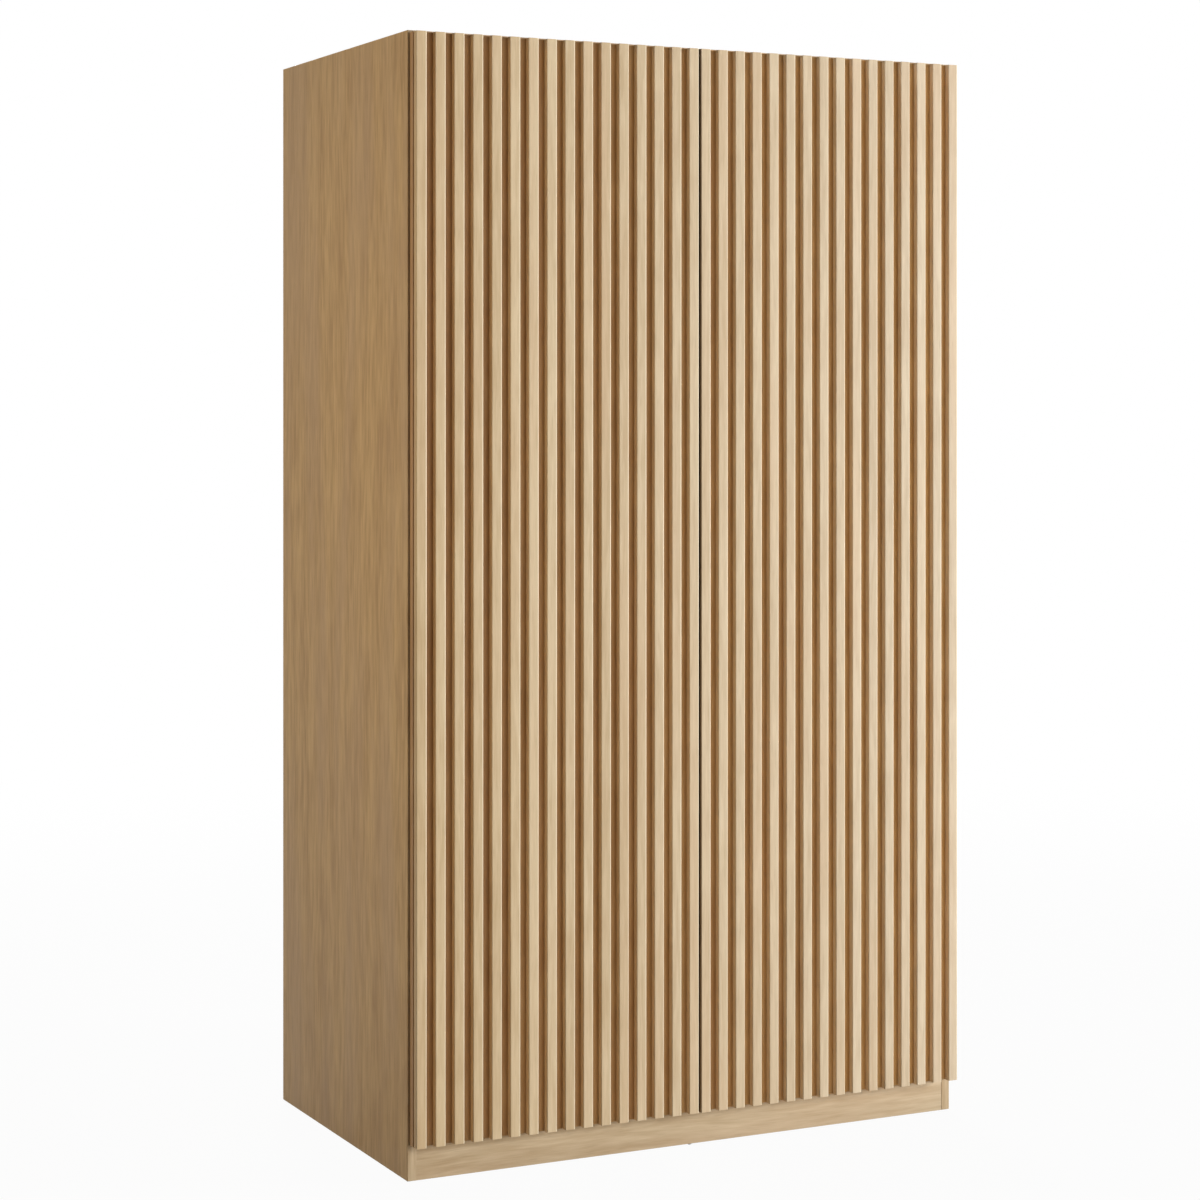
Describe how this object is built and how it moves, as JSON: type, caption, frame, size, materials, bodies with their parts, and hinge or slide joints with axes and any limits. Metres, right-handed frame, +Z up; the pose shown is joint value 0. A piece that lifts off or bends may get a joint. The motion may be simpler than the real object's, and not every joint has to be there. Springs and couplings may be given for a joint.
{
  "type": "wardrobe",
  "caption": "Tall wardrobe with paired hinged doors faced with flat vertical slats, a plinth, a hat shelf and a hanging rail.",
  "frame": {"origin": "middle of the footprint on the floor", "axes": "+X to the right seen from the front, +Y to the back (the doors face -Y), +Z up"},
  "size_m": [1.005, 0.6, 1.8],
  "materials": {
    "oak_laminate": "matt wood-grain laminate",
    "oak_melamine": "matt melamine",
    "hardboard": "matt printed hardboard",
    "beech": "bare wood",
    "zinc": "dull zinc",
    "nickel_steel": "nickel plated",
    "chrome_tube": "polished",
    "bracket_metal": "satin",
    "white_plastic": "matt",
    "grey_plastic": "matt"
  },
  "bodies": {
    "carcass": {"side_panel_left": "oak_laminate", "side_panel_right": "oak_laminate", "top_panel": "oak_melamine", "bottom_panel": "oak_melamine", "hat_shelf": "oak_melamine", "plinth_front": "oak_laminate", "plinth_rear": "oak_melamine", "back_panel_left": "hardboard", "back_panel_right": "hardboard", "back_joining_strip": "white_plastic", "cam_locks": "zinc", "cam_bolts": "nickel_steel", "dowels": "beech", "floor_glides": "grey_plastic", "hanging_rail": "chrome_tube", "rail_brackets": "bracket_metal", "wall_angles": "nickel_steel", "hinge_plates_left": "nickel_steel", "hinge_arms_left": "nickel_steel", "hinge_arm_pins_left": "nickel_steel", "latch_housing_left": "grey_plastic", "hinge_plates_right": "nickel_steel", "hinge_arms_right": "nickel_steel", "hinge_arm_pins_right": "nickel_steel", "latch_housing_right": "grey_plastic"},
    "outer_links_left": {"outer_links_left": "nickel_steel"},
    "door_left": {"door_board_left": "oak_laminate", "door_slats_left": "oak_laminate", "hinge_cups_left": "nickel_steel", "hinge_cup_pins_left": "nickel_steel", "latch_strike_left": "nickel_steel"},
    "inner_links_left": {"inner_links_left": "nickel_steel"},
    "latch_plunger_left": {"latch_plunger_left": "white_plastic"},
    "outer_links_right": {"outer_links_right": "nickel_steel"},
    "door_right": {"door_board_right": "oak_laminate", "door_slats_right": "oak_laminate", "hinge_cups_right": "nickel_steel", "hinge_cup_pins_right": "nickel_steel", "latch_strike_right": "nickel_steel"},
    "inner_links_right": {"inner_links_right": "nickel_steel"},
    "latch_plunger_right": {"latch_plunger_right": "white_plastic"}
  },
  "joints": [
    {"name": "outer_links_left_swing", "type": "hinge", "parent": "carcass", "child": "outer_links_left", "pos_m": [-0.463, -0.2658, 0.928], "axis": [0, 0, 1], "range_deg": [0, 32.31]},
    {"name": "door_left_swing", "type": "hinge", "parent": "outer_links_left", "child": "door_left", "pos_m": [-0.488, -0.2738, 0.928], "axis": [0, 0, -1], "range_deg": [0, 127.3]},
    {"name": "inner_links_left_swing", "type": "hinge", "parent": "carcass", "child": "inner_links_left", "pos_m": [-0.4691, -0.2791, 0.928], "axis": [0, 0, 1], "range_deg": [0, 29.46]},
    {"name": "latch_plunger_left_slide", "type": "slide", "parent": "carcass", "child": "latch_plunger_left", "axis": [0, -1, 0], "range_m": [0, 0.02]},
    {"name": "outer_links_right_swing", "type": "hinge", "parent": "carcass", "child": "outer_links_right", "pos_m": [0.463, -0.2658, 0.928], "axis": [0, 0, -1], "range_deg": [0, 32.31]},
    {"name": "door_right_swing", "type": "hinge", "parent": "outer_links_right", "child": "door_right", "pos_m": [0.488, -0.2738, 0.928], "axis": [0, 0, 1], "range_deg": [0, 127.3]},
    {"name": "inner_links_right_swing", "type": "hinge", "parent": "carcass", "child": "inner_links_right", "pos_m": [0.4691, -0.2791, 0.928], "axis": [0, 0, -1], "range_deg": [0, 29.46]},
    {"name": "latch_plunger_right_slide", "type": "slide", "parent": "carcass", "child": "latch_plunger_right", "axis": [0, -1, 0], "range_m": [0, 0.02]}
  ],
  "couplings": [
    {"joint": "outer_links_left_swing", "follows": "door_left_swing", "ratio": 0.25373},
    {"joint": "inner_links_left_swing", "follows": "door_left_swing", "ratio": 0.23134},
    {"joint": "latch_plunger_left_slide", "follows": "door_left_swing", "m_per_rad": 0.009},
    {"joint": "outer_links_right_swing", "follows": "door_right_swing", "ratio": 0.25373},
    {"joint": "inner_links_right_swing", "follows": "door_right_swing", "ratio": 0.23134},
    {"joint": "latch_plunger_right_slide", "follows": "door_right_swing", "m_per_rad": 0.009}
  ]
}
